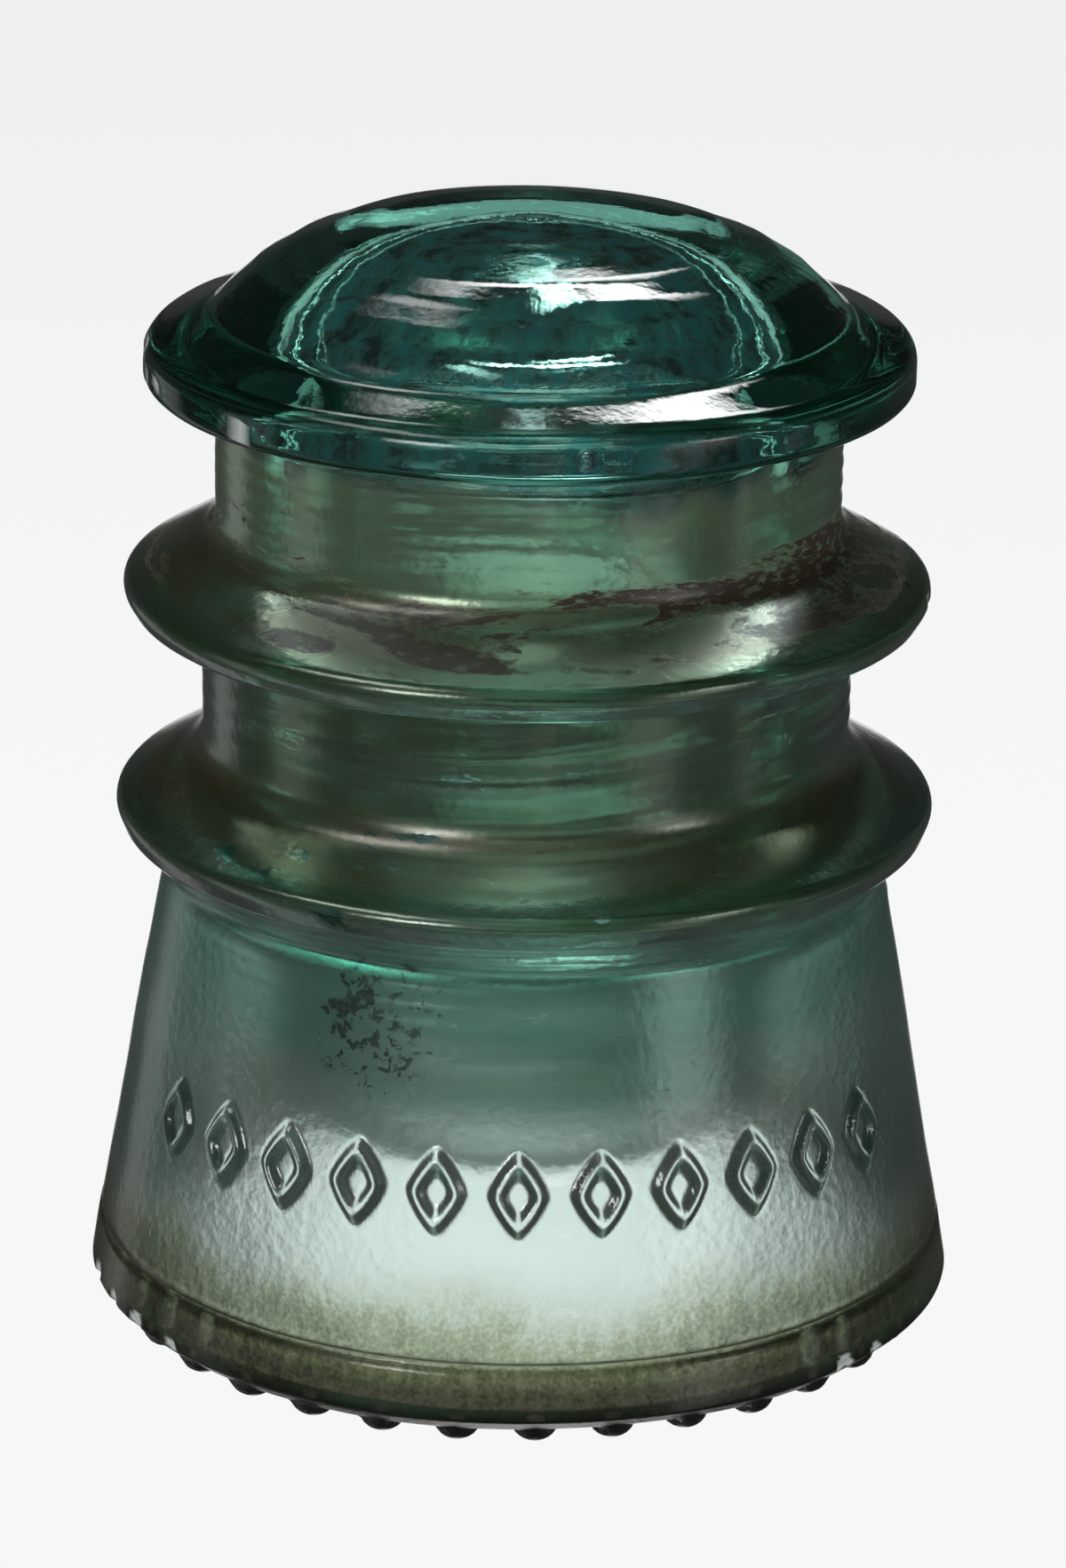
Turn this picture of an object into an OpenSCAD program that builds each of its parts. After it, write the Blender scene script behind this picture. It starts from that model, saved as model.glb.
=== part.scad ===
// Glass pin insulator with two wire grooves, drip points and a threaded pinhole.
// One pressed-glass moulding: every feature below belongs to the same solid.
// The origin is under the middle of the base, on the plane the drip points rest on.

/* [Overall] */
// Height from the drip points to the top of the crown
total_h = 95.25; // [94:0.05:97]
// Diameter at the widest part of the skirt
base_d = 74.3; // [73:0.1:76]

/* [Crown and flanges] */
// Diameter of the crown where it meets the top flange
crown_d = 53.8; // [52:0.2:56]
// Diameter of the top flange
top_flange_d = 64.6; // [63:0.2:67]
// Diameter of the middle flange
mid_flange_d = 69; // [67:0.2:71]
// Diameter of the lower flange
low_flange_d = 70; // [69:0.2:72]

/* [Wire grooves] */
// Diameter of the glass inside the upper wire groove
upper_groove_d = 52.6; // [50:0.2:55]
// Diameter of the glass inside the lower wire groove
lower_groove_d = 54.9; // [52:0.1:57]

/* [Pinhole] */
// Diameter of the bore, across the crests of its thread
bore_d = 29; // [27:0.1:29.6]
// Distance from one turn of the thread to the next
thread_pitch = 6.35; // [5:0.05:7]
// Depth of the thread, from its crest to its root
thread_depth = 1.4; // [1:0.1:1.6]
// Thickness of the glass between the pinhole and the top of the crown
crown_thickness = 11.2; // [10:0.1:15]

/* [Base] */
// Number of drip points around the rim
drip_count = 33; // [24:1:34]
// Diameter of one drip point where it leaves the rim
drip_d = 4; // [3:0.1:4.2]
// Height that a drip point stands below the rim
drip_h = 1.7; // [1.2:0.1:1.9]
// Width of the flat rim that carries the drip points
rim_w = 4.6; // [4.4:0.1:5]

/* [Raised marks] */
// Number of raised lozenges in the band across the front of the skirt
mark_count = 11; // [3:2:15]
// Height of one lozenge
mark_h = 7.4; // [5:0.1:8]
// Width of one lozenge
mark_w = 5; // [4:0.1:6]
// Height that the lozenges stand proud of the skirt
mark_relief = 0.6; // [0.4:0.1:0.9]

/* [Hidden] */

// Facets of a full revolve, of the bore and of one drip point
body_fn = 60;
bore_fn = 48;
drip_fn = 14;
// Largest turn between two points of a rounded corner, in degrees
corner_step = 12;

// Radii of the outer surface
base_r = base_d / 2;
crown_r = crown_d / 2;
top_flange_r = top_flange_d / 2;
mid_flange_r = mid_flange_d / 2;
low_flange_r = low_flange_d / 2;
upper_groove_r = upper_groove_d / 2;
lower_groove_r = lower_groove_d / 2;

// Levels of the outer surface, counted up from the rim
rim_z = drip_h;
base_edge_z = rim_z + 1.25;
skirt_top_z = rim_z + 38.2;
low_flange_z = rim_z + 43.7;
lower_groove_z = rim_z + 47.8;
lower_groove_top_z = rim_z + 60;
mid_flange_z = rim_z + 62.7;
upper_groove_z = rim_z + 67.15;
upper_groove_top_z = rim_z + 79.25;
top_flange_z = rim_z + 83.6;
crown_z = total_h - 8.1;
crown_top_z = total_h - 1.3;

// Hollow skirt and the petticoat that carries the pinhole
skirt_top_r = low_flange_r - 4.4;
bevel_w = 1.5;
rim_r = base_r - bevel_w;
rim_inner_r = rim_r - rim_w;
hollow_top_z = 38;
hollow_outer_r = 27.3;
hollow_inner_r = 21.4;
petticoat_z = 18;
petticoat_r = 20.2;

// Pinhole: plain mouth, threaded length and rounded top
bore_r = bore_d / 2;
mouth_r = bore_r + thread_depth + 0.9;
mouth_top_z = petticoat_z + 5;
pinhole_top_z = total_h - crown_thickness;
pinhole_dome_h = 7.5;
pinhole_dome_r = bore_r + thread_depth;
thread_top_z = pinhole_top_z - pinhole_dome_h;

// Thread: chords in one turn, turns it makes, and the part of a turn over which it runs out
thread_steps = 20;
thread_turns = (thread_top_z - mouth_top_z) / thread_pitch - 0.5;
thread_fade = 0.4;
// How far inside the crest the groove's root has come when it has run out
run_out_depth = 0.4;
// Half widths of the groove at its root, on its flanks and inside the bore, and how far it starts inside
root_half_w = 0.7;
flank_share = 0.8;
open_half_w = 1.75;
open_depth = 1;

// Ring of drip points
drip_ring_r = rim_r - rim_w / 2 + 0.25;

// Band of raised marks on the skirt; each is set into the glass by mark_root
mark_z = rim_z + 20;
mark_pitch_angle = 11.5;
mark_stroke = 1.25;
mark_root = 1;

// Outline functions ------------------------------------------------------

function unit(v) = v / norm(v);

// Points of the arc that rounds corner p between its neighbours a and b
function rounded(a, p, b, rad) =
    let (
        u = unit(a - p),
        w = unit(b - p),
        angle = acos(u * w),
        centre = p + unit(u + w) * rad / sin(angle / 2),
        start = p + u * rad / tan(angle / 2) - centre,
        end = p + w * rad / tan(angle / 2) - centre,
        a0 = atan2(start[1], start[0]),
        turn = atan2(cross(start, end), start * end),
        n = max(1, ceil(abs(turn) / corner_step))
    )
    [for (i = [0 : n])
        centre + rad * [cos(a0 + turn * i / n), sin(a0 + turn * i / n)]];

function corner(c) = [c[0], c[1]];

// Outline through corners [r, z, rounding radius]; a radius of 0 stays sharp
function outline(c) =
    [for (i = [0 : len(c) - 1])
        each c[i][2] == 0 ? [corner(c[i])] :
            rounded(corner(c[i - 1]), corner(c[i]), corner(c[i + 1]), c[i][2])];

// Corners of the whole section, from the top of the crown round to the axis again
body_corners = [
    [0, total_h, 0],
    [crown_r - 6.3, crown_top_z, 18.5],
    [crown_r, crown_z, 2.5],
    [top_flange_r - 0.1, top_flange_z, 2.1],
    [top_flange_r, upper_groove_top_z + 0.35, 1.2],
    [upper_groove_r, upper_groove_top_z, 1.7],
    [upper_groove_r, upper_groove_z, 3],
    [mid_flange_r, mid_flange_z, 1.35],
    [mid_flange_r - 1.4, lower_groove_top_z + 0.25, 1],
    [lower_groove_r, lower_groove_top_z, 1.7],
    [lower_groove_r, lower_groove_z, 3.7],
    [low_flange_r, low_flange_z, 1.2],
    [low_flange_r - 0.85, low_flange_z - 2.2, 0.7],
    [skirt_top_r, skirt_top_z, 1.2],
    [base_r, base_edge_z, 0.4],
    [rim_r, rim_z, 0.5],
    [rim_inner_r, rim_z, 0.7],
    [hollow_outer_r, hollow_top_z, 2.5],
    [hollow_inner_r, hollow_top_z, 2.5],
    [petticoat_r, petticoat_z, 1],
    [0, petticoat_z, 0]
];

// Hollow of the pinhole above the threaded length
dome_corners = [
    [0, pinhole_top_z, 0],
    [pinhole_dome_r - 2.5, pinhole_top_z - 2.4, 8],
    [pinhole_dome_r, thread_top_z, 0],
    [0, thread_top_z, 0]
];

// Thread -----------------------------------------------------------------

// Section of the thread groove, [depth beyond the crest, height], open to the bore
thread_section = [
    [-open_depth, -open_half_w],
    [thread_depth * flank_share, -root_half_w],
    [thread_depth, 0],
    [thread_depth * flank_share, root_half_w],
    [-open_depth, open_half_w]
];

// How much of its full depth the groove has at turn t
function groove_share(t) = min(1, (thread_turns - t) / thread_fade);

// How far beyond the crest the groove reaches at turn t
function cut(depth, t) =
    depth < 0 ? depth : (depth + run_out_depth) * groove_share(t) - run_out_depth;

function thread_ring(t) =
    [for (p = thread_section)
        let (r = bore_r + cut(p[0], t))
        [r * cos(360 * t), r * sin(360 * t), mouth_top_z + (t - 1) * thread_pitch + p[1]]];

// Starts one turn below the threaded length, inside the mouth
module thread_groove() {
    m = len(thread_section);
    rings = floor(thread_turns * thread_steps);
    points = [for (k = [0 : rings]) each thread_ring(k / thread_steps)];
    sides = [
        for (k = [0 : rings - 1], j = [0 : m - 1])
            let (a = k * m + j, b = k * m + (j + 1) % m)
            each [[a, b, a + m], [b, b + m, a + m]]
    ];
    start_cap = [[for (j = [m - 1 : -1 : 0]) j]];
    end_cap = [[for (j = [0 : m - 1]) rings * m + j]];
    polyhedron(points, concat(sides, start_cap, end_cap), convexity = 10);
}

// Features ---------------------------------------------------------------

module body_of_revolution() {
    rotate_extrude($fn = body_fn)
        polygon(outline(body_corners));
}

// A drip point is the lower cap of a ball that reaches drip_h below the rim
module drip_points() {
    ball_r = (pow(drip_d / 2, 2) + pow(drip_h, 2)) / (2 * drip_h);
    for (i = [0 : drip_count - 1])
        rotate([0, 0, i * 360 / drip_count])
            translate([drip_ring_r, 0, ball_r])
                sphere(r = ball_r, $fn = drip_fn);
}

module lozenge(height, width) {
    polygon([[height / 2, 0], [0, width / 2], [-height / 2, 0], [0, -width / 2]]);
}

// Open lozenges that stand on the cone of the skirt, in a band across the front (-Y)
module raised_marks() {
    slope = atan2(base_r - skirt_top_r, skirt_top_z - base_edge_z);
    skirt_r = skirt_top_r + (skirt_top_z - mark_z) * tan(slope);
    for (i = [0 : mark_count - 1])
        rotate([0, 0, -90 + (i - (mark_count - 1) / 2) * mark_pitch_angle])
            translate([skirt_r - mark_root, 0, mark_z])
                rotate([0, 90 - slope, 0])
                    linear_extrude(mark_root + mark_relief)
                        difference() {
                            lozenge(mark_h, mark_w);
                            lozenge(mark_h - 3 * mark_stroke, mark_w - 2 * mark_stroke);
                        }
}

// The plain mouth starts in the open air below the petticoat, and so does the bore
module pinhole_mouth() {
    translate([0, 0, petticoat_z - 1])
        cylinder(r = mouth_r, h = mouth_top_z - petticoat_z + 1, $fn = bore_fn);
}

module pinhole_bore() {
    cylinder(r = bore_r, h = thread_top_z, $fn = bore_fn);
}

module pinhole_dome() {
    rotate_extrude($fn = bore_fn)
        polygon(outline(dome_corners));
}

// Sub-part ---------------------------------------------------------------

module glass_insulator() {
    color([0.18, 0.55, 0.50])
        difference() {
            union() {
                body_of_revolution();
                drip_points();
                raised_marks();
            }
            pinhole_mouth();
            pinhole_bore();
            pinhole_dome();
            thread_groove();
        }
}

glass_insulator();
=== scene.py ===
"""Pressed-glass pin insulator on a pale floor, under soft studio light.

The glass is one mesh, swept from the section of the CAD part ring by ring. The thread, the drip points,
the raised lozenges and the chips are shaped into those rings. Lengths are millimetres until a mesh or an
object is made, and metres (times MM) after that.
"""
import math

import bpy
import numpy as np
from mathutils import Matrix, Vector, noise


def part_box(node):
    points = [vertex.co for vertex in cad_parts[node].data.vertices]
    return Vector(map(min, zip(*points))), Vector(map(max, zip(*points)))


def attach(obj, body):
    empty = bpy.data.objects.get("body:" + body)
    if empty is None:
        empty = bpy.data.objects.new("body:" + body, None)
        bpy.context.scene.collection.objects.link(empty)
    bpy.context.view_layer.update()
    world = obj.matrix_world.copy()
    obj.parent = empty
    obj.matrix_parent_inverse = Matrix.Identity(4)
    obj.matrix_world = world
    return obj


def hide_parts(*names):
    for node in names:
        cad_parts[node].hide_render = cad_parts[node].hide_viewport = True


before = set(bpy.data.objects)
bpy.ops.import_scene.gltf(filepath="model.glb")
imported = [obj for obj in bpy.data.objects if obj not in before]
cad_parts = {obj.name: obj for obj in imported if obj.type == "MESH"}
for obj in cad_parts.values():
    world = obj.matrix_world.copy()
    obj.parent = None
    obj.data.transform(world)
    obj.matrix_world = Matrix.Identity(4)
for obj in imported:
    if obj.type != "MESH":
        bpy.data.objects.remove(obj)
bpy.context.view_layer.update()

MM = 0.001
low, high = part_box("glass_insulator")

# ---------------------------------------------------------------- driving dimensions
TOTAL_H = (high.z - low.z) / MM
BASE_R = 37.15
RIM_Z = 1.7                 # the drip points stand this far below the rim
CROWN_R = 26.9
TOP_FLANGE_R = 32.3
MID_FLANGE_R = 34.5
LOW_FLANGE_R = 35.0
UPPER_GROOVE_R = 26.3
LOWER_GROOVE_R = 27.45
SKIRT_TOP_R = LOW_FLANGE_R - 4.4
SKIRT_TOP_Z = RIM_Z + 38.2
BASE_EDGE_Z = RIM_Z + 1.25
BEVEL_W = 1.5
RIM_INNER_R = 31.1
CROWN_Z = TOTAL_H - 8.1
CROWN_TOP_Z = TOTAL_H - 1.3
TOP_FLANGE_Z = RIM_Z + 83.6
UPPER_GROOVE_TOP_Z = RIM_Z + 79.25
UPPER_GROOVE_Z = RIM_Z + 67.15
MID_FLANGE_Z = RIM_Z + 62.7
LOWER_GROOVE_TOP_Z = RIM_Z + 60
LOWER_GROOVE_Z = RIM_Z + 47.8
LOW_FLANGE_Z = RIM_Z + 43.7
PARTING_Z = RIM_Z + 5.85    # where the skirt's mould meets the ring that forms the rim

BORE_R = 14.5
THREAD_DEPTH = 1.4
THREAD_PITCH = 6.35
THREAD_HALF_W = 1.5
THREAD_FLANK_W = 1.1
THREAD_FADE = 0.4           # part of a turn over which the thread runs out
MOUTH_R = BORE_R + THREAD_DEPTH + 0.9
PETTICOAT_Z = 18.0
PETTICOAT_R = 20.2
HOLLOW_TOP_Z = 38
HOLLOW_OUTER_R = 27.3
HOLLOW_INNER_R = 21.4
MOUTH_TOP_Z = 23.0
CROWN_T = 11.2
DOME_R = BORE_R + THREAD_DEPTH
PINHOLE_TOP_Z = TOTAL_H - CROWN_T
THREAD_TOP_Z = PINHOLE_TOP_Z - 7.5
THREAD_START_Z = MOUTH_TOP_Z - THREAD_PITCH
THREAD_TURNS = (THREAD_TOP_Z - MOUTH_TOP_Z) / THREAD_PITCH - 0.5

DRIP_COUNT = 33
DRIP_RING_R = 33.6
DRIP_R = 2.0

MARK_Z = RIM_Z + 20
MARK_H = 7.4
MARK_W = 5.0
MARK_COUNT = 11
MARK_STEP = math.radians(11.5)
MARK_STROKE = 1.25
MARK_RELIEF = 0.6
FRONT = -math.pi / 2        # the lozenges face -Y

# Columns round the axis, and how many times finer the rim and the band of lozenges are
COLUMNS = 140
RIM_FINER = 4
BAND_FINER = 5
BORE_COLUMNS = COLUMNS // 2


# ---------------------------------------------------------------- section of the glass
def rounded(a, p, b, radius, step=math.radians(11)):
    """Points of the arc that rounds corner p between its neighbours a and b."""
    u = (a - p) / np.linalg.norm(a - p)
    w = (b - p) / np.linalg.norm(b - p)
    half = math.acos(np.clip(u @ w, -1, 1)) / 2
    centre = p + (u + w) / np.linalg.norm(u + w) * radius / math.sin(half)
    start = p + u * radius / math.tan(half) - centre
    end = p + w * radius / math.tan(half) - centre
    turn = math.atan2(start[0] * end[1] - start[1] * end[0], start @ end)
    first = math.atan2(start[1], start[0])
    count = max(1, math.ceil(abs(turn) / step))
    angles = [first + turn * i / count for i in range(count + 1)]
    return [centre + radius * np.array([math.cos(t), math.sin(t)]) for t in angles]


def outline(corners, longest):
    """Points through corners (r, z, rounding radius), with no gap over longest."""
    points = []
    for i, (r, z, radius) in enumerate(corners):
        here = np.array([r, z], float)
        if radius == 0:
            points.append(here)
        else:
            before = np.array(corners[i - 1][:2], float)
            after = np.array(corners[i + 1][:2], float)
            points += rounded(before, here, after, radius)
    dense = [points[0]]
    for p in points[1:]:
        gap = np.linalg.norm(p - dense[-1])
        last, pieces = dense[-1], max(1, math.ceil(gap / longest))
        dense += [last + (p - last) * k / pieces for k in range(1, pieces + 1)]
    return dense


def skirt_r(z):
    """Radius of the skirt's straight flare at height z."""
    return SKIRT_TOP_R + (SKIRT_TOP_Z - z) * (BASE_R - SKIRT_TOP_R) / (SKIRT_TOP_Z - BASE_EDGE_Z)


def on_skirt(z):
    """Sharp corner on the flare."""
    return skirt_r(z), z, 0


# Corners where one section ends and the next begins
CROWN_EDGE = ((CROWN_R + TOP_FLANGE_R - 0.1) / 2, (CROWN_Z + TOP_FLANGE_Z) / 2, 0)
BAND_TOP = on_skirt(MARK_Z + MARK_H / 2 + 0.7)
BAND_FOOT = on_skirt(MARK_Z - MARK_H / 2 - 0.7)
RIM_TOP = on_skirt(BASE_EDGE_Z + 1.2)
RIM_INSIDE = (RIM_INNER_R - 0.3, RIM_Z + 2.6, 0)
BORE_FOOT = (BORE_R, MOUTH_TOP_Z + 0.6, 0)
BORE_TOP = (BORE_R, THREAD_TOP_Z, 0)

crown = [
    (0, TOTAL_H, 0),
    (CROWN_R - 6.3, CROWN_TOP_Z, 18.5),
    (CROWN_R, CROWN_Z, 2.5),
    CROWN_EDGE,
]
neck = [
    CROWN_EDGE,
    (TOP_FLANGE_R - 0.1, TOP_FLANGE_Z, 2.1),
    (TOP_FLANGE_R, UPPER_GROOVE_TOP_Z + 0.35, 1.2),
    (UPPER_GROOVE_R, UPPER_GROOVE_TOP_Z, 1.7),
    (UPPER_GROOVE_R, UPPER_GROOVE_Z, 3),
    (MID_FLANGE_R, MID_FLANGE_Z, 1.35),
    (MID_FLANGE_R - 1.4, LOWER_GROOVE_TOP_Z + 0.25, 1),
    (LOWER_GROOVE_R, LOWER_GROOVE_TOP_Z, 1.7),
    (LOWER_GROOVE_R, LOWER_GROOVE_Z, 3.7),
    (LOW_FLANGE_R, LOW_FLANGE_Z, 1.2),
    (LOW_FLANGE_R - 0.85, LOW_FLANGE_Z - 2.2, 0.7),
    (SKIRT_TOP_R, SKIRT_TOP_Z, 1.2),
    BAND_TOP,
]
band = [BAND_TOP, BAND_FOOT]
band_to_rim = [
    BAND_FOOT,
    on_skirt(PARTING_Z + 0.2),
    (skirt_r(PARTING_Z) - 0.5, PARTING_Z - 0.05, 0),
    (skirt_r(PARTING_Z - 0.35) + 0.05, PARTING_Z - 0.35, 0),
    RIM_TOP,
]
rim = [
    RIM_TOP,
    (BASE_R, BASE_EDGE_Z, 0.4),
    (BASE_R - BEVEL_W, RIM_Z, 0.5),
    (RIM_INNER_R, RIM_Z, 0.7),
    RIM_INSIDE,
]
hollow = [
    RIM_INSIDE,
    (HOLLOW_OUTER_R, HOLLOW_TOP_Z, 2.5),
    (HOLLOW_INNER_R, HOLLOW_TOP_Z, 2.5),
    (PETTICOAT_R, PETTICOAT_Z, 1),
    (MOUTH_R, PETTICOAT_Z, 0.7),
    (MOUTH_R, MOUTH_TOP_Z, 0.4),
    (BORE_R, MOUTH_TOP_Z, 0.4),
    BORE_FOOT,
]
bore = [BORE_FOOT, BORE_TOP]
dome = [
    BORE_TOP,
    (DOME_R, THREAD_TOP_Z + 0.4, 0),
    (DOME_R - 2.5, PINHOLE_TOP_Z - 2.4, 8),
    (0, PINHOLE_TOP_Z, 0),
]

# (corners, longest gap, columns, part of the outer surface)
SECTIONS = [
    (crown, 1.0, COLUMNS, True),
    (neck, 0.5, COLUMNS, True),
    (band, 0.34, COLUMNS * BAND_FINER, True),
    (band_to_rim, 1.0, COLUMNS, True),
    (rim, 0.42, COLUMNS * RIM_FINER, True),
    (hollow, 2.0, COLUMNS, False),
    (bore, THREAD_PITCH / 10, BORE_COLUMNS, False),
    (dome, 1.5, BORE_COLUMNS, False),
]


# ---------------------------------------------------------------- shapes pressed into the surface
def smooth(x):
    """0 below 0, 1 above 1, and a smooth curve between."""
    x = np.clip(x, 0, 1)
    return x * x * (3 - 2 * x)


def turned(angle):
    """The angle brought into -pi to pi."""
    return (angle + math.pi) % (2 * math.pi) - math.pi


def thread_depth(angle, z):
    """How far the thread's groove is cut outwards from the bore."""
    turns = (z - THREAD_START_Z) / THREAD_PITCH - angle / (2 * math.pi)
    away = np.abs(turns - np.round(turns)) * THREAD_PITCH
    run_out = smooth((THREAD_TURNS - (z - THREAD_START_Z) / THREAD_PITCH) / THREAD_FADE)
    return THREAD_DEPTH * smooth((THREAD_HALF_W - away) / THREAD_FLANK_W) * run_out


def drip_drop(x, y):
    """How far the drip points pull the rim down."""
    angle = np.arctan2(y, x)
    step = 2 * math.pi / DRIP_COUNT
    nearest = np.round(angle / step) * step
    away = np.hypot(x - DRIP_RING_R * np.cos(nearest), y - DRIP_RING_R * np.sin(nearest))
    return RIM_Z * np.sqrt(np.clip(1 - (away / DRIP_R) ** 2, 0, 1))


def mark_relief(angle, r, z, bulge=1.25):
    """Height of the open lozenges, whose strokes are rounded ridges. A bulge of 1 has straight sides."""
    out = np.zeros_like(angle)
    edge_distance = 1 / math.hypot(2 / MARK_W, 2 / MARK_H)
    for i in range(MARK_COUNT):
        centre = FRONT + (i - (MARK_COUNT - 1) / 2) * MARK_STEP
        u = np.abs(turned(angle - centre)) * r / (MARK_W / 2)
        v = np.abs(z - MARK_Z) / (MARK_H / 2)
        inside = (1 - (u ** bulge + v ** bulge) ** (1 / bulge)) * edge_distance
        out = np.maximum(out, smooth(1.15 - np.abs(inside - MARK_STROKE / 2) / (MARK_STROKE / 2)))
    return MARK_RELIEF * out


# Chips: angle round the axis in degrees, height, size, depth
CHIPS = [
    (184, RIM_Z + 82.4, 1.4, 0.4),
    (190, RIM_Z + 81.0, 1.1, 0.35),
    (197, RIM_Z + 81.3, 0.8, 0.25),
    (224, RIM_Z + 81.1, 1.1, 0.35),
    (352, RIM_Z + 62.0, 0.9, 0.3),
    (192, BASE_EDGE_Z, 1.4, 0.4),
    (201, BASE_EDGE_Z, 1.1, 0.35),
    (209, BASE_EDGE_Z, 1.3, 0.35),
    (218, BASE_EDGE_Z, 1.0, 0.3),
    (318, BASE_EDGE_Z, 1.2, 0.3),
    (325, BASE_EDGE_Z, 0.9, 0.25),
]
CHIPPED_FROM_R = 30         # no chip reaches inside this radius


def chip_depth(x, y, z):
    """Depth of the chips, which are small shells broken out of the edges."""
    out = np.zeros_like(x)
    r = np.hypot(x, y).max()
    for degrees, height, size, depth in CHIPS:
        angle = math.radians(degrees)
        across, back = x - r * math.cos(angle), y - r * math.sin(angle)
        away = np.sqrt(across ** 2 + back ** 2 + (z - height) ** 2)
        out = np.maximum(out, depth * smooth((size - away) / (size * 0.5)))
    return out


# Slow unevenness of hand-pressed glass: depth, length of the waves, and where in the noise they start
WAVES = [(0.09, 17, 0), (0.035, 6, 40)]


def waviness(x, y, z, size, seed):
    """Waves of one length, from -1 to 1."""
    flat = zip(x.ravel(), y.ravel(), z.ravel())
    values = [noise.noise(Vector((a / size + seed, b / size, c / size * 1.6))) for a, b, c in flat]
    return np.array(values).reshape(x.shape)


# Bands of faint rings left by the mould: lowest and highest level, and the distance between rings
RIPPLES = [
    (SKIRT_TOP_Z - 5.0, SKIRT_TOP_Z + 3.5, 1.25),
    (RIM_Z + 50.0, RIM_Z + 59.0, 1.9),
    (RIM_Z + 68.5, RIM_Z + 80.5, 1.6),
]
RIPPLE_DEPTH = 0.055


def ripple(angle, z):
    """The rings, which fade in and out round the neck, from -1 to 1."""
    out = np.zeros_like(angle)
    for lowest, highest, pitch in RIPPLES:
        inside = smooth((z - lowest) / 1.5) * smooth((highest - z) / 1.5)
        drift = 0.35 * np.sin(2 * angle + lowest) + 0.2 * np.sin(5 * angle + highest)
        strength = 0.6 + 0.4 * np.sin(3 * angle + pitch)
        out = out + inside * strength * np.sin(2 * math.pi * (z / pitch + drift))
    return out


# ---------------------------------------------------------------- rings and mesh
class Rings:
    """Collects rings of vertices from the crown to the pinhole's dome, and joins each to the last."""

    def __init__(self):
        self.points, self.faces, self.outer, self.chipped = [], [], [], []
        self.last = None

    def add(self, x, y, z, outer, chipped):
        """Adds a ring, given in millimetres."""
        first = len(self.points)
        self.points += list(zip(x * MM, y * MM, z * MM))
        self.outer += [outer] * len(x)
        self.chipped += list(chipped)
        ring = list(range(first, first + len(x)))
        if self.last is not None:
            self.join(self.last, ring)
        self.last = ring

    def join(self, a, b):
        """Faces between two neighbouring rings, which may differ in how fine they are."""
        if len(a) == len(b):
            n = len(a)
            self.faces += [(a[j], b[j], b[(j + 1) % n], a[(j + 1) % n]) for j in range(n)]
        elif len(b) > len(a):
            self.fan(a, b, False)
        else:
            self.fan(b, a, True)

    def fan(self, coarse, fine, flip):
        """Joins a ring to one with a whole number of times more vertices."""
        n, k = len(coarse), len(fine) // len(coarse)
        for j in range(n):
            here, after = coarse[j], coarse[(j + 1) % n]
            for i in range(k):
                hub = here if i < (k + 1) // 2 else after
                f0, f1 = fine[(j * k + i) % len(fine)], fine[(j * k + i + 1) % len(fine)]
                self.faces.append((hub, f1, f0) if flip else (hub, f0, f1))
            middle = fine[(j * k + (k + 1) // 2) % len(fine)]
            if n > 1:
                self.faces.append((here, after, middle) if flip else (here, middle, after))


def with_normals(points):
    """Each point of a section, with the direction in which the surface faces there."""
    rows = []
    for i, (r, z) in enumerate(points):
        along = points[min(i + 1, len(points) - 1)] - points[max(i - 1, 0)]
        along = along / np.linalg.norm(along)
        rows.append((r, z, -along[1], along[0]))
    return rows


def pushed_out(corners, angle, x, y, z):
    """How far the surface of one ring stands out from the plain section, before it is chipped."""
    push = sum(depth * waviness(x, y, z, size, seed) for depth, size, seed in WAVES)
    if corners is neck:
        push = push + RIPPLE_DEPTH * ripple(angle, z)
    if corners is bore:
        push = push - thread_depth(angle, z)
    if corners is band:
        push = push + mark_relief(angle, np.hypot(x, y), z)
    return push


def glass_mesh():
    """Every ring of the glass, from the crown down the outside and up the inside to the pinhole's dome."""
    rings = Rings()
    for corners, longest, columns, outer in SECTIONS:
        rows = with_normals(outline(corners, longest))
        # A section starts on the ring that the last one ended on
        for r, z, normal_r, normal_z in rows[1:] if rings.last else rows:
            on_axis = r < 1e-6
            count = 1 if on_axis else columns
            angle = np.arange(count) * 2 * math.pi / count
            x, y, height = r * np.cos(angle), r * np.sin(angle), np.full(count, float(z))
            chips = chip_depth(x, y, height) if outer and r > CHIPPED_FROM_R else np.zeros(count)
            push = 0 if on_axis else pushed_out(corners, angle, x, y, height) - chips
            x, y = x + push * normal_r * np.cos(angle), y + push * normal_r * np.sin(angle)
            height = height + push * normal_z
            if corners is rim:
                # Only the underside is drawn down into drip points
                facing = smooth((RIM_Z + 2.2 - height) / 1.4)
                height = height - np.minimum(drip_drop(x, y), height) * facing
            rings.add(x, y, np.maximum(height, 0), float(outer), (chips > 0.05).astype(float))
    return rings


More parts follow.
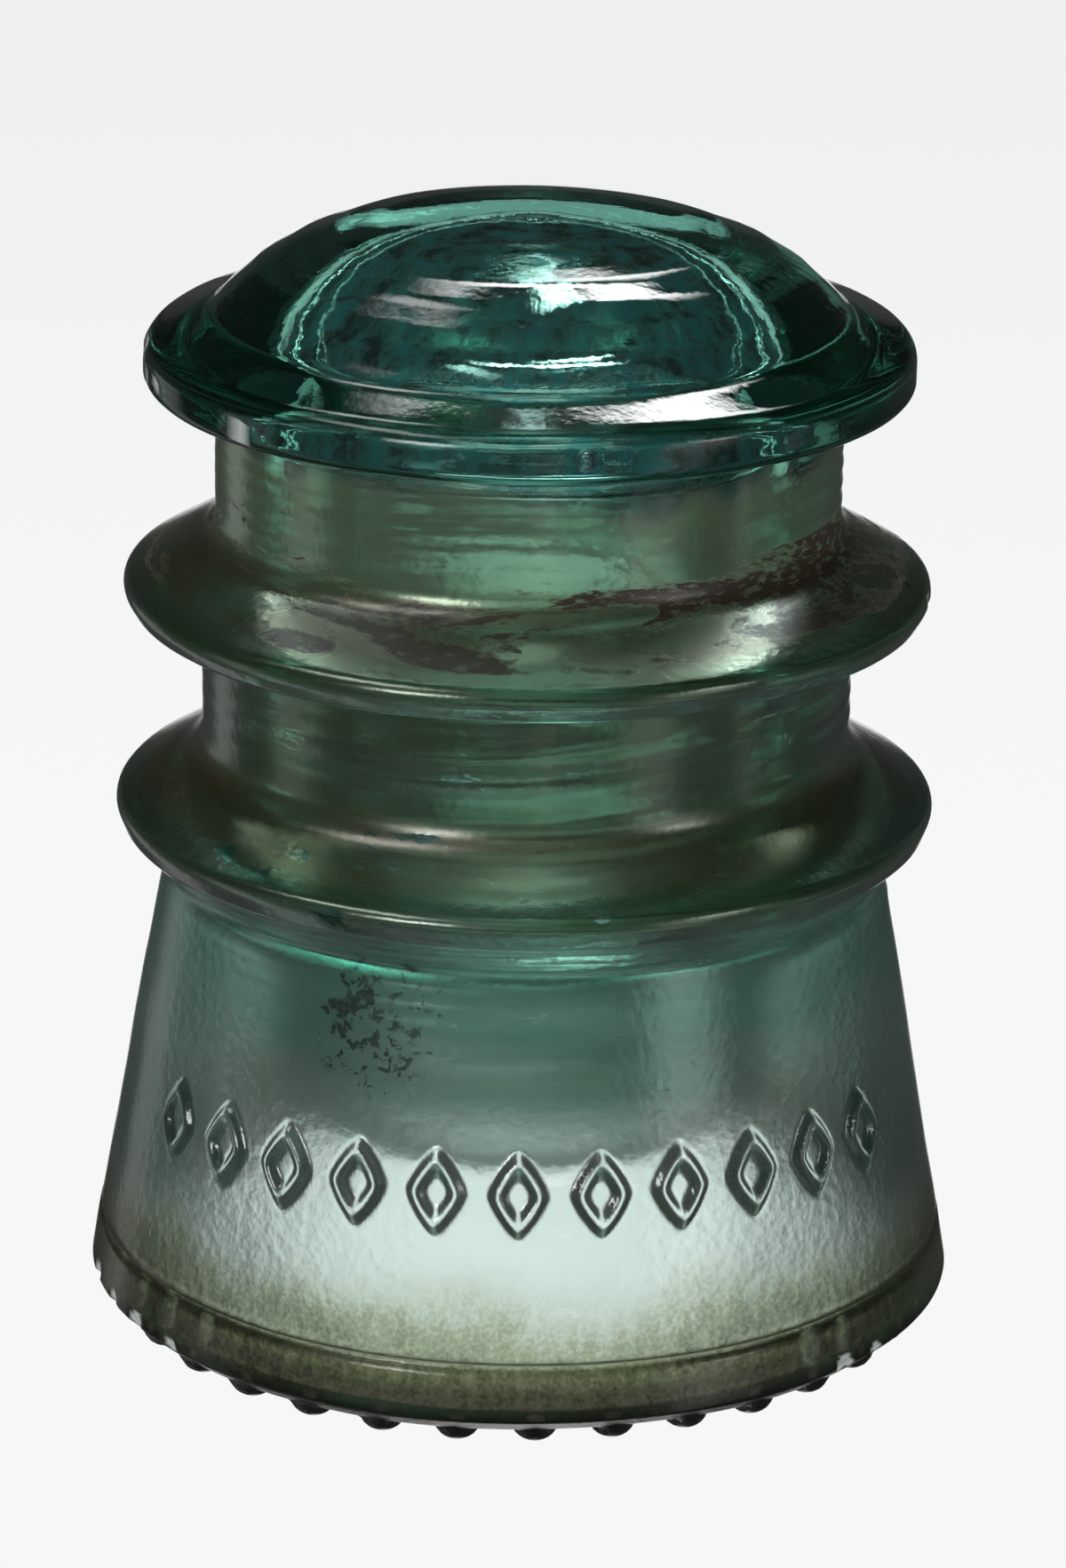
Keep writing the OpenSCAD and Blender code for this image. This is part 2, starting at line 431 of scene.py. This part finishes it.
def add_bubble(rings, centre, radius, columns=16, rows=8):
    """A closed air bubble inside the glass: its faces look inwards."""
    first = len(rings.points)
    rings.points.append((centre[0] * MM, centre[1] * MM, (centre[2] + radius) * MM))
    for i in range(1, rows):
        tilt = math.pi * i / rows
        for j in range(columns):
            turn = 2 * math.pi * j / columns
            rings.points.append((
                (centre[0] + radius * math.sin(tilt) * math.cos(turn)) * MM,
                (centre[1] + radius * math.sin(tilt) * math.sin(turn)) * MM,
                (centre[2] + radius * math.cos(tilt)) * MM,
            ))
    rings.points.append((centre[0] * MM, centre[1] * MM, (centre[2] - radius) * MM))
    last = len(rings.points) - 1

    def ring(i, j):
        return first + 1 + (i - 1) * columns + j % columns

    for j in range(columns):
        rings.faces.append((first, ring(1, j + 1), ring(1, j)))
        rings.faces.append((last, ring(rows - 1, j), ring(rows - 1, j + 1)))
        for i in range(1, rows - 1):
            rings.faces.append((ring(i, j), ring(i, j + 1), ring(i + 1, j + 1), ring(i + 1, j)))
    count = len(rings.points) - first
    rings.outer += [0.0] * count
    rings.chipped += [0.0] * count


def make_object(name, rings, material):
    """Mesh of the rings, with where it is outer and chipped as attributes for the material."""
    mesh = bpy.data.meshes.new(name)
    mesh.from_pydata(rings.points, [], rings.faces)
    for label, values in (("outer", rings.outer), ("chipped", rings.chipped)):
        mesh.attributes.new(label, "FLOAT", "POINT").data.foreach_set("value", values)
    mesh.polygons.foreach_set("use_smooth", [True] * len(mesh.polygons))
    mesh.materials.append(material)
    mesh.update()
    made = bpy.data.objects.new(name, mesh)
    bpy.context.scene.collection.objects.link(made)
    return made


# ---------------------------------------------------------------- materials
class Nodes:
    """Short ways to add and link shader nodes."""

    def __init__(self, material):
        material.use_nodes = True
        self.tree = material.node_tree
        self.tree.nodes.clear()

    def add(self, kind, out=0, settings=None, **inputs):
        """Adds a node and returns one of its outputs, or the node itself if out is None."""
        node = self.tree.nodes.new("ShaderNode" + kind)
        for key, value in (settings or {}).items():
            setattr(node, key, value)
        for key, value in inputs.items():
            self.put(node.inputs[key.replace("_", " ")], value)
        return node.outputs[out] if out is not None else node

    def put(self, socket, value):
        """Links a socket, or sets its value."""
        if isinstance(value, bpy.types.NodeSocket):
            self.tree.links.new(value, socket)
        else:
            socket.default_value = value

    def math(self, operation, a, b=0.0):
        node = self.tree.nodes.new("ShaderNodeMath")
        node.operation = operation
        self.put(node.inputs[0], a)
        self.put(node.inputs[1], b)
        return node.outputs[0]

    def vector(self, operation, a, b=(0, 0, 0)):
        """Vector operation that gives one number."""
        node = self.tree.nodes.new("ShaderNodeVectorMath")
        node.operation = operation
        self.put(node.inputs[0], a)
        self.put(node.inputs[1], b)
        return node.outputs["Value"]

    def ramp(self, value, low, high, to_low=0.0, to_high=1.0):
        """Smooth step of value from low to high."""
        node = self.tree.nodes.new("ShaderNodeMapRange")
        node.interpolation_type = "SMOOTHSTEP"
        for socket, v in zip(node.inputs[:5], (value, low, high, to_low, to_high)):
            self.put(socket, v)
        return node.outputs[0]

    def band(self, value, start, full, fade, end):
        """1 from full to fade, and 0 below start and above end."""
        return self.math("MULTIPLY", self.ramp(value, start, full), self.ramp(value, end, fade))

    def bands(self, value, pair):
        """Two bands, one above the other."""
        upper, lower = pair
        return self.math("ADD", self.band(value, *upper), self.band(value, *lower))

    def lessen(self, value, mask, share):
        """Takes that share of value away where mask is 1."""
        kept = self.math("SUBTRACT", 1.0, self.math("MULTIPLY", mask, share))
        return self.math("MULTIPLY", value, kept)

    def mix(self, factor, a, b):
        """Colour mix."""
        node = self.tree.nodes.new("ShaderNodeMix")
        node.data_type = "RGBA"
        self.put(node.inputs["Factor"], factor)
        self.put(node.inputs[6], a)
        self.put(node.inputs[7], b)
        return node.outputs[2]

    def blend(self, factor, a, b):
        """Number mix."""
        node = self.tree.nodes.new("ShaderNodeMix")
        self.put(node.inputs["Factor"], factor)
        self.put(node.inputs[2], a)
        self.put(node.inputs[3], b)
        return node.outputs[0]

    def noise(self, vector, scale, detail=4.0, roughness=0.5, distortion=0.0):
        return self.add("TexNoise", 0, None, Vector=vector, Scale=scale, Detail=detail,
                        Roughness=roughness, Distortion=distortion)


# Colours of the surface
CLEAR = (0.97, 1.0, 0.985, 1)
# Pale cyan in the top of the pinhole: dust, and partly painted light for the glow seen in the dome
DUST_AND_GLOW = (0.30, 0.78, 0.90, 1)
PALE_SMOKE = (0.52, 0.80, 0.42, 1)
DARK_SMOKE = (0.15, 0.27, 0.11, 1)
SKIRT_SMOKE = (0.27, 0.62, 0.47, 1)
HAZE = (0.25, 0.20, 0.10, 1)
PALE_OLIVE = (0.62, 0.66, 0.38, 1)
DARK_OLIVE = (0.055, 0.058, 0.026, 1)
FLAKES = (0.09, 0.13, 0.105, 1)
# Nearly black: painted shade on the bevel and the drip points
FOOT_SHADE = (0.03, 0.025, 0.02, 1)
STAIN = (0.050, 0.027, 0.015, 1)
CHIP = (0.75, 0.80, 0.78, 1)
GLASS = (0.022, 0.60, 0.50, 1)

# Zones by height, in metres. A pair is where a look starts and where it is full. Four levels are where it
# starts, is full, starts to fade and ends.
FILM_TOP = (0.0798, 0.0768)
FILM_WASH = (0.034, 0.022)
FLANGE_EDGES = ((0.0605, 0.0615, 0.0630, 0.0640), (0.0400, 0.0415, 0.0440, 0.0450))
FLANGE_TOPS = ((0.0652, 0.0664, 0.0685, 0.0715), (0.0462, 0.0474, 0.0495, 0.0525))
STAIN_ZONE = (0.0645, 0.0660, 0.0690, 0.0785)
DIRT_TOP = (0.0170, 0.0070)
# Painted shade: a dark band along the groove of the parting line
PARTING_SHADE = (0.0073, 0.0075, 0.0078, 0.0083)
# Painted shade: the height below which the bevel and the drip points are darkened
FOOT_SHADE_TOP = (0.0045, 0.0030)
DUST_AND_GLOW_FOOT = (0.0760, 0.0775)
DARK_NECK = (0.0700, 0.0640)
SKIRT_START = (0.0445, 0.0405)

# Places on the glass, in metres
BACK_TO_FRONT = (0.022, -0.006)
LEFT_TO_RIGHT = (-0.030, 0.030)
FLAKES_MIDDLE = (-0.0125, -0.0305, 0.0350)


def film_mask(n, place, squashed, z, level, outer):
    """Weathered film, from a wavering edge in the upper groove down."""
    film = n.math("MULTIPLY", n.ramp(level, *FILM_TOP), outer)
    film = n.math("MULTIPLY", film, n.ramp(n.noise(squashed, 45, 5, 0.6), 0.25, 0.7, 0.7, 1.0))
    # The back weathered less than the front
    back = n.add("SeparateXYZ", 1, None, Vector=place)
    film = n.math("MULTIPLY", film, n.ramp(back, *BACK_TO_FRONT, 0.45, 1.0))
    # The lower part of the skirt has lost most of it
    film = n.lessen(film, n.ramp(level, *FILM_WASH), 0.8)
    # It is thinner on the lower edges of the two lower flanges
    film = n.lessen(film, n.bands(z, FLANGE_EDGES), 0.5)
    # It has come away in flakes
    flakes = n.ramp(n.noise(squashed, 140, 8, 0.65, 0.4), 0.60, 0.64)
    worn = n.math("MULTIPLY", flakes, n.ramp(n.noise(place, 38, 2), 0.52, 0.60))
    return n.math("MULTIPLY", film, n.math("SUBTRACT", 1.0, worn))


def stain_mask(n, place, squashed, z, outer):
    """Brown stain: ragged patches on the middle flange and just above it, more of them on the right."""
    flattened = n.add("Mapping", 0, None, Vector=place, Scale=(1.0, 1.0, 5.5))
    side = n.ramp(n.add("SeparateXYZ", 0, None, Vector=place), *LEFT_TO_RIGHT, 0.90, 1.06)
    patches = n.math("MULTIPLY", n.noise(flattened, 62, 12, 0.66, 0.6), side)
    patches = n.ramp(n.math("MULTIPLY", patches, n.band(z, *STAIN_ZONE)), 0.465, 0.515)
    crumbs = n.ramp(n.noise(squashed, 700, 3, 0.6), 0.36, 0.48, 0.6, 1.0)
    return n.math("MULTIPLY", patches, n.math("MULTIPLY", crumbs, outer))


def haze_mask(n, squashed, z, film):
    """Thin brown haze on the tops of both lower flanges."""
    cloud = n.ramp(n.noise(squashed, 90, 5), 0.3, 0.6, 0.55, 1.0)
    return n.math("MULTIPLY", n.math("MULTIPLY", n.bands(z, FLANGE_TOPS), film), cloud)


def dirt_and_shade_mask(n, place, upright, z, level, outer):
    """Dirt round the bottom of the skirt, and a dark band of painted shade along the groove of the parting
    line.
    """
    dirt = n.math("MULTIPLY", n.ramp(level, *DIRT_TOP), outer)
    speckle = n.ramp(n.noise(place, 2600, 3, 0.6), 0.35, 0.62, 0.75, 1.0)
    drips = n.ramp(n.noise(upright, 900, 4, 0.6), 0.35, 0.65, 0.8, 1.0)
    # Painted shade in the groove of the parting line
    line = n.math("MULTIPLY", n.band(z, *PARTING_SHADE), outer)
    return n.math("MAXIMUM", n.math("MULTIPLY", dirt, n.math("MULTIPLY", speckle, drips)),
                  n.math("MULTIPLY", line, 0.95))


def spots_mask(n, place, outer):
    """A cluster of dark flakes high on the left of the skirt."""
    apart = n.vector("DISTANCE", place, FLAKES_MIDDLE)
    inner = n.math("MULTIPLY", n.ramp(apart, 0.0068, 0.0030, 0.0, 0.09), outer)
    spots = n.ramp(n.math("ADD", n.noise(place, 800, 8, 0.7, 0.5), inner), 0.60, 0.63)
    return n.math("MULTIPLY", spots, n.math("MULTIPLY", n.ramp(apart, 0.0072, 0.0064), outer))


def dust_and_glow_mask(n, upright, z, outer):
    """Streaks of dust in the top of the pinhole, which also carry a pale cyan painted glow."""
    dust_and_glow = n.math("MULTIPLY", n.ramp(z, *DUST_AND_GLOW_FOOT), n.math("SUBTRACT", 1.0, outer))
    return n.math("MULTIPLY", dust_and_glow, n.ramp(n.noise(upright, 420, 6, 0.7), 0.38, 0.62, 0.15, 1.0))


def glass_material():
    """Blue-green glass, clear on the crown, under a dark weathered film from the upper groove down."""
    material = bpy.data.materials.new("weathered_blue_green_glass")
    n = Nodes(material)
    place = n.add("TexCoord", 3)
    squashed = n.add("Mapping", 0, None, Vector=place, Scale=(1.0, 1.0, 3.4))
    upright = n.add("Mapping", 0, None, Vector=place, Scale=(1.0, 1.0, 0.35))
    z = n.add("SeparateXYZ", 2, None, Vector=place)
    outer = n.add("Attribute", 2, {"attribute_name": "outer"})
    chipped = n.add("Attribute", 2, {"attribute_name": "chipped"})
    # Height with a slow wander, for edges that aren't level
    wander = n.math("MULTIPLY", n.math("SUBTRACT", n.noise(place, 85), 0.5), 0.009)
    level = n.math("ADD", z, wander)

    film = film_mask(n, place, squashed, z, level, outer)
    stain = stain_mask(n, place, squashed, z, outer)
    haze = haze_mask(n, squashed, z, film)
    dirt_and_shade = dirt_and_shade_mask(n, place, upright, z, level, outer)
    spots = spots_mask(n, place, outer)
    dust_and_glow = dust_and_glow_mask(n, upright, z, outer)
    foot_shade = n.math("MULTIPLY", n.ramp(z, *FOOT_SHADE_TOP), outer)

    # Colour: the film is greener on the skirt, and painted shade makes the bevel and the drip points
    # nearly black
    smoke = n.mix(n.ramp(z, *DARK_NECK), PALE_SMOKE, DARK_SMOKE)
    smoke = n.mix(n.ramp(z, *SKIRT_START), smoke, SKIRT_SMOKE)
    # The pinhole's dust is pale cyan, partly painted light that brightens the dome
    base = n.mix(film, n.mix(dust_and_glow, CLEAR, DUST_AND_GLOW), smoke)
    base = n.mix(haze, base, HAZE)
    # Olive dirt, and the painted shade along the parting line, which takes the dark olive
    olive = n.mix(dirt_and_shade, PALE_OLIVE, DARK_OLIVE)
    base = n.mix(n.math("MINIMUM", n.math("MULTIPLY", dirt_and_shade, 1.7), 1.0), base, olive)
    for mask, colour in ((spots, FLAKES), (foot_shade, FOOT_SHADE), (stain, STAIN), (chipped, CHIP)):
        base = n.mix(mask, base, colour)

    # The film has a slight metallic sheen
    metal = n.math("MULTIPLY", film, n.ramp(n.noise(upright, 70, 4), 0.3, 0.7, 0.14, 0.28))
    metal = n.math("MULTIPLY", metal, n.math("SUBTRACT", 1.0, stain))

    # Roughness: polished outside and in the top of the pinhole, dull inside the hollow skirt
    inside = n.ramp(z, 0.0755, 0.0775, n.ramp(z, 0.044, 0.038, 0.16, 0.30), 0.035)
    outside = n.ramp(z, 0.055, 0.035, 0.012, 0.10)
    filmed = n.blend(haze, n.ramp(z, 0.0440, 0.0400, 0.19, 0.23), 0.30)
    rough = n.blend(film, n.blend(outer, inside, outside), filmed)
    for mask, value in ((dirt_and_shade, 0.25), (stain, 0.6), (chipped, 0.5)):
        rough = n.blend(mask, rough, value)

    # Clearness: how much light goes through
    clear = n.blend(film, n.blend(dust_and_glow, 1.0, 0.52), 0.88)
    for mask, value in ((dirt_and_shade, 0.82), (haze, 0.80), (stain, 0.30), (chipped, 0.35)):
        clear = n.blend(mask, clear, value)

    # Relief: orange peel and fine upright scratches, faint on the crown
    height = n.math("ADD", n.math("MULTIPLY", n.noise(place, 1000, 2), 0.7),
                    n.math("MULTIPLY", n.noise(upright, 300, 4), 0.3))
    height = n.math("MULTIPLY", height, n.ramp(z, 0.0800, 0.0740, 0.3, 1.0))
    bump = n.add("Bump", 0, None, Strength=0.16, Distance=0.0004, Height=height)

    shader = n.add("BsdfPrincipled", None, None, Base_Color=base, Metallic=metal, Roughness=rough,
                   IOR=1.52, Normal=bump, Transmission_Weight=clear,
                   Coat_Weight=n.math("MULTIPLY", film, n.ramp(z, 0.0400, 0.0440, 0.3, 0.55)),
                   Coat_Roughness=0.26, Coat_IOR=2.0)
    volume = n.add("VolumeAbsorption", 0, None, Color=GLASS, Density=40.0)
    output = n.add("OutputMaterial", None, None)
    n.put(output.inputs["Surface"], shader.outputs[0])
    n.put(output.inputs["Volume"], volume)
    return material


# What the camera sees behind the glass
STUDIO_WHITE = (0.99, 1, 0.995, 1)
BACKDROP = 0.865


def table_material():
    """Pale sweep, a little dimmer away from the middle."""
    material = bpy.data.materials.new("pale_sweep")
    n = Nodes(material)
    away = n.vector("LENGTH", n.add("TexCoord", 3))
    strength = n.ramp(away, 0.06, 0.55, 0.93, BACKDROP)
    glow = n.add("Emission", 0, None, Color=STUDIO_WHITE, Strength=strength)
    output = n.add("OutputMaterial", None, None)
    n.put(output.inputs["Surface"], glow)
    return material


# ---------------------------------------------------------------- stage, light and camera
def make_table(size=6.0):
    """Pale floor for the camera. The glass is lit by the studio's panels and doesn't pick up its glow."""
    mesh = bpy.data.meshes.new("table")
    corners = [(-size, -size, 0), (size, -size, 0), (size, size, 0), (-size, size, 0)]
    mesh.from_pydata(corners, [], [(0, 1, 2, 3)])
    mesh.materials.append(table_material())
    table = bpy.data.objects.new("table", mesh)
    bpy.context.scene.collection.objects.link(table)
    table.location.z = -0.0002
    table.visible_transmission = False
    table.visible_glossy = False


# Softboxes: azimuth from the camera's side towards +X, elevation, half width and half height in degrees,
# and strength
SOFTBOXES = [
    (174, 36, 6, 7, 8.0),
    (172, 49, 18, 5, 15.0),
    (-147, 60, 6, 12, 5.0),
    (50, 3, 17, 18, 0.85),
    (-32, 17, 14, 9, 9.0),
    (56, 14, 10, 7, 3.0),
    (-60, 52, 26, 8, 4.0),
]


def soft_patch(n, direction, azimuth, elevation, half_width, half_height):
    """1 in the middle of a softbox, falling smoothly to 0 at its edges."""
    turn, rise = math.radians(azimuth), math.radians(elevation)
    middle = (math.sin(turn) * math.cos(rise), -math.cos(turn) * math.cos(rise), math.sin(rise))
    side = (math.cos(turn), math.sin(turn), 0)
    top = tuple(Vector(side).cross(Vector(middle)))
    patch = 1.0
    for axis, half in ((side, half_width), (top, half_height)):
        away = n.math("ABSOLUTE", n.vector("DOT_PRODUCT", direction, axis))
        reach = math.sin(math.radians(half))
        patch = n.math("MULTIPLY", patch, n.ramp(away, reach, reach * 0.25))
    return n.math("MULTIPLY", patch, n.ramp(n.vector("DOT_PRODUCT", direction, middle), 0.0, 0.1))


# Brightness of the room round the glass: ceiling, floor, tall faint panels and bright low ones, and the
# share of the low ones that is left at the sides
CEILING = 0.012
FLOOR = 0.045
TALL_PANELS = 0.055
LOW_PANELS = 1.08
SIDE_SHARE = 0.28


def room_light(n, direction):
    """Dim room with panels every 45 degrees: the low ones are bright behind the glass, faint beside it."""
    across = n.add("SeparateXYZ", 0, None, Vector=direction)
    back = n.add("SeparateXYZ", 1, None, Vector=direction)
    up = n.add("SeparateXYZ", 2, None, Vector=direction)
    azimuth = n.math("ARCTAN2", across, back)
    panels = n.ramp(n.math("COSINE", n.math("MULTIPLY", azimuth, 8.0)), -0.15, 0.85)
    low = n.band(up, -0.97, -0.90, -0.17, -0.10)
    tall = n.band(up, -0.62, -0.50, 0.04, 0.12)
    room = n.ramp(up, 0.25, -0.10, CEILING, FLOOR)
    room = n.blend(n.math("MULTIPLY", panels, tall), room, TALL_PANELS)

    behind = n.ramp(n.math("ABSOLUTE", azimuth), 0.5, 0.4)
    left = n.math("MULTIPLY", n.ramp(across, 0.0, -0.12), n.ramp(back, -0.45, -0.25))
    right = n.ramp(n.math("SUBTRACT", across, back), 0.95, 1.1)
    sides = n.math("MULTIPLY", n.math("MAXIMUM", left, right), SIDE_SHARE)
    glow_low = n.math("MULTIPLY", n.math("MULTIPLY", panels, low), n.math("MAXIMUM", behind, sides))
    return n.blend(glow_low, room, LOW_PANELS)


def make_world():
    """A plain pale backdrop to the camera, and the room with its softboxes to the light in the glass."""
    world = bpy.data.worlds.new("studio")
    bpy.context.scene.world = world
    n = Nodes(world)
    direction = n.add("TexCoord", 0)
    room = room_light(n, direction)
    for azimuth, elevation, half_width, half_height, strength in SOFTBOXES:
        patch = soft_patch(n, direction, azimuth, elevation, half_width, half_height)
        room = n.math("ADD", room, n.math("MULTIPLY", patch, strength))
    camera = n.add("LightPath", 0)
    glow = n.add("Background", 0, None, Color=STUDIO_WHITE, Strength=n.blend(camera, room, BACKDROP))
    output = n.add("OutputWorld", None, None)
    n.put(output.inputs["Surface"], glow)


def make_camera():
    """Long lens in front of the glass, a little above it and slightly rolled."""
    elevation = math.radians(18.96)
    roll = math.radians(0.80)
    distance = 0.5424
    target = Vector((0.00071, 0, 0.0456))
    away = Vector((0, -math.cos(elevation), math.sin(elevation)))
    level_right, level_up = Vector((1, 0, 0)), Vector((0, math.sin(elevation), math.cos(elevation)))
    right = level_right * math.cos(roll) + level_up * math.sin(roll)
    up = level_up * math.cos(roll) - level_right * math.sin(roll)
    data = bpy.data.cameras.new("camera")
    data.sensor_fit, data.sensor_height, data.lens = "VERTICAL", 36, 146.1
    camera = bpy.data.objects.new("camera", data)
    turn = Matrix((right, up, away)).transposed().to_4x4()
    camera.matrix_world = Matrix.Translation(target + away * distance) @ turn
    bpy.context.scene.collection.objects.link(camera)
    bpy.context.scene.camera = camera


# ---------------------------------------------------------------- build
make_camera()
make_world()
make_table()

shape = glass_mesh()
add_bubble(shape, (4.4, -29.4, RIM_Z + 81.2), 0.85)
insulator = make_object("glass_insulator_visual", shape, glass_material())
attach(insulator, "root")
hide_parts("glass_insulator")

scene = bpy.context.scene
scene.view_settings.view_transform = "Standard"
scene.cycles.max_bounces = 24
scene.cycles.transmission_bounces = 24
scene.cycles.glossy_bounces = 12
